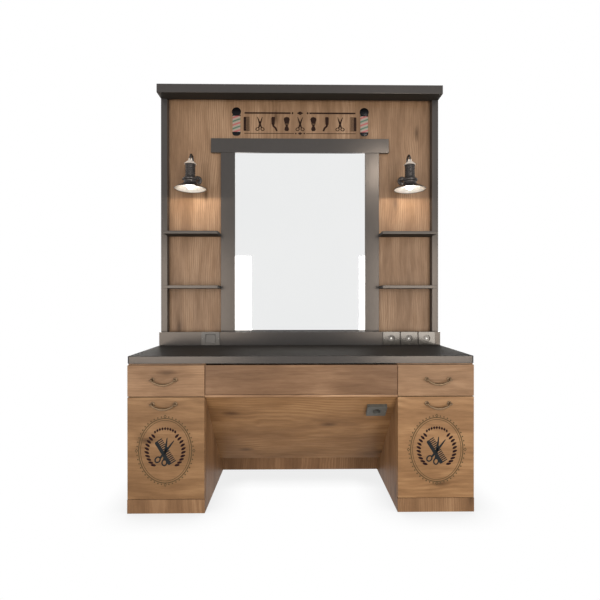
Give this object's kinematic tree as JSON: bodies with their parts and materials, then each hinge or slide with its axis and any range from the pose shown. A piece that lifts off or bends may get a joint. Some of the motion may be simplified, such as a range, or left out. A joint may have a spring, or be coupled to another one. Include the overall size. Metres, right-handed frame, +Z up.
{
  "type": "salon styling station",
  "caption": "Double sided styling station: drawer pedestals with a knee space, worktop, splash board with sockets, and a framed mirror wall with shelves, wall lamps and a cornice.",
  "frame": {"origin": "on the floor at the middle of the station's footprint", "axes": "+Z up, X across the mirrors, Y through the depth; one working face looks towards -Y and the other towards +Y"},
  "size_m": [1.8, 1.2568, 2.456],
  "materials": {
    "walnut_decor": "satin woodgrain decor board",
    "anthracite_board": "satin brown-grey lacquered board",
    "drawer_board": "matt melamine board",
    "mirror_glass": "polished silvered glass",
    "handle_bronze": "antique dark bronze",
    "runner_steel": "zinc plated",
    "lamp_metal": "satin gunmetal",
    "plate_steel": "brushed",
    "socket_black": "moulded matt",
    "socket_grey": "moulded satin",
    "screw_steel": "plain"
  },
  "bodies": {
    "station": {"pedestal_outer_sides": "walnut_decor", "pedestal_inner_sides": "walnut_decor", "pedestal_floors_and_partitions": "walnut_decor", "pedestal_top_stretchers": "walnut_decor", "plinth_boards": "walnut_decor", "drawer_deck": "walnut_decor", "modesty_panels": "walnut_decor", "kick_boards": "walnut_decor", "worktop": "anthracite_board", "backsplashes": "anthracite_board", "posts": "anthracite_board", "wall_panels": "walnut_decor", "niche_ceiling": "walnut_decor", "cornice": "anthracite_board", "mirror_frames": "anthracite_board", "mirror_headers": "anthracite_board", "mirror_glasses": "mirror_glass", "display_shelves": "anthracite_board", "cabinet_runners": "runner_steel", "lamp_brackets": "lamp_metal", "socket_plates": "plate_steel", "socket_wells": "socket_black", "low_socket_boxes": "socket_grey", "switch_plates": "plate_steel", "plate_screws": "screw_steel"},
    "front_left_top_drawer": {"front_left_top_drawer_front": "walnut_decor", "front_left_top_drawer_box": "drawer_board", "front_left_top_drawer_handle": "handle_bronze"},
    "front_left_deep_drawer": {"front_left_deep_drawer_front": "walnut_decor", "front_left_deep_drawer_box": "drawer_board", "front_left_deep_drawer_handle": "handle_bronze"},
    "front_left_lamp_head": {"front_left_lamp_head": "lamp_metal"},
    "front_right_top_drawer": {"front_right_top_drawer_front": "walnut_decor", "front_right_top_drawer_box": "drawer_board", "front_right_top_drawer_handle": "handle_bronze"},
    "front_right_deep_drawer": {"front_right_deep_drawer_front": "walnut_decor", "front_right_deep_drawer_box": "drawer_board", "front_right_deep_drawer_handle": "handle_bronze"},
    "front_right_lamp_head": {"front_right_lamp_head": "lamp_metal"},
    "front_centre_drawer": {"front_centre_drawer_front": "walnut_decor", "front_centre_drawer_box": "drawer_board"},
    "front_switch_rocker": {"front_switch_rocker": "plate_steel"},
    "rear_left_top_drawer": {"rear_left_top_drawer_front": "walnut_decor", "rear_left_top_drawer_box": "drawer_board", "rear_left_top_drawer_handle": "handle_bronze"},
    "rear_left_deep_drawer": {"rear_left_deep_drawer_front": "walnut_decor", "rear_left_deep_drawer_box": "drawer_board", "rear_left_deep_drawer_handle": "handle_bronze"},
    "rear_left_lamp_head": {"rear_left_lamp_head": "lamp_metal"},
    "rear_right_top_drawer": {"rear_right_top_drawer_front": "walnut_decor", "rear_right_top_drawer_box": "drawer_board", "rear_right_top_drawer_handle": "handle_bronze"},
    "rear_right_deep_drawer": {"rear_right_deep_drawer_front": "walnut_decor", "rear_right_deep_drawer_box": "drawer_board", "rear_right_deep_drawer_handle": "handle_bronze"},
    "rear_right_lamp_head": {"rear_right_lamp_head": "lamp_metal"},
    "rear_centre_drawer": {"rear_centre_drawer_front": "walnut_decor", "rear_centre_drawer_box": "drawer_board"},
    "rear_switch_rocker": {"rear_switch_rocker": "plate_steel"}
  },
  "joints": [
    {"name": "front_left_top_drawer_slide", "type": "slide", "parent": "station", "child": "front_left_top_drawer", "axis": [0, -1, 0], "range_m": [0, 0.38]},
    {"name": "front_left_deep_drawer_slide", "type": "slide", "parent": "station", "child": "front_left_deep_drawer", "axis": [0, -1, 0], "range_m": [0, 0.38]},
    {"name": "front_left_lamp_head_tilt", "type": "hinge", "parent": "station", "child": "front_left_lamp_head", "pos_m": [-0.675, -0.202, 1.9645], "axis": [1, 0, 0], "range_deg": [-20, 20]},
    {"name": "front_right_top_drawer_slide", "type": "slide", "parent": "station", "child": "front_right_top_drawer", "axis": [0, -1, 0], "range_m": [0, 0.38]},
    {"name": "front_right_deep_drawer_slide", "type": "slide", "parent": "station", "child": "front_right_deep_drawer", "axis": [0, -1, 0], "range_m": [0, 0.38]},
    {"name": "front_right_lamp_head_tilt", "type": "hinge", "parent": "station", "child": "front_right_lamp_head", "pos_m": [0.675, -0.202, 1.9645], "axis": [1, 0, 0], "range_deg": [-20, 20]},
    {"name": "front_centre_drawer_slide", "type": "slide", "parent": "station", "child": "front_centre_drawer", "axis": [0, -1, 0], "range_m": [0, 0.33]},
    {"name": "front_switch_rocker_rock", "type": "hinge", "parent": "station", "child": "front_switch_rocker", "pos_m": [-0.572, -0.1069, 0.856], "axis": [1, 0, 0], "range_deg": [-4, 4]},
    {"name": "rear_left_top_drawer_slide", "type": "slide", "parent": "station", "child": "rear_left_top_drawer", "axis": [0, 1, 0], "range_m": [0, 0.38]},
    {"name": "rear_left_deep_drawer_slide", "type": "slide", "parent": "station", "child": "rear_left_deep_drawer", "axis": [0, 1, 0], "range_m": [0, 0.38]},
    {"name": "rear_left_lamp_head_tilt", "type": "hinge", "parent": "station", "child": "rear_left_lamp_head", "pos_m": [0.675, 0.202, 1.9645], "axis": [1, 0, 0], "range_deg": [-20, 20]},
    {"name": "rear_right_top_drawer_slide", "type": "slide", "parent": "station", "child": "rear_right_top_drawer", "axis": [0, 1, 0], "range_m": [0, 0.38]},
    {"name": "rear_right_deep_drawer_slide", "type": "slide", "parent": "station", "child": "rear_right_deep_drawer", "axis": [0, 1, 0], "range_m": [0, 0.38]},
    {"name": "rear_right_lamp_head_tilt", "type": "hinge", "parent": "station", "child": "rear_right_lamp_head", "pos_m": [-0.675, 0.202, 1.9645], "axis": [1, 0, 0], "range_deg": [-20, 20]},
    {"name": "rear_centre_drawer_slide", "type": "slide", "parent": "station", "child": "rear_centre_drawer", "axis": [0, 1, 0], "range_m": [0, 0.33]},
    {"name": "rear_switch_rocker_rock", "type": "hinge", "parent": "station", "child": "rear_switch_rocker", "pos_m": [0.572, 0.1069, 0.856], "axis": [1, 0, 0], "range_deg": [-4, 4]}
  ]
}
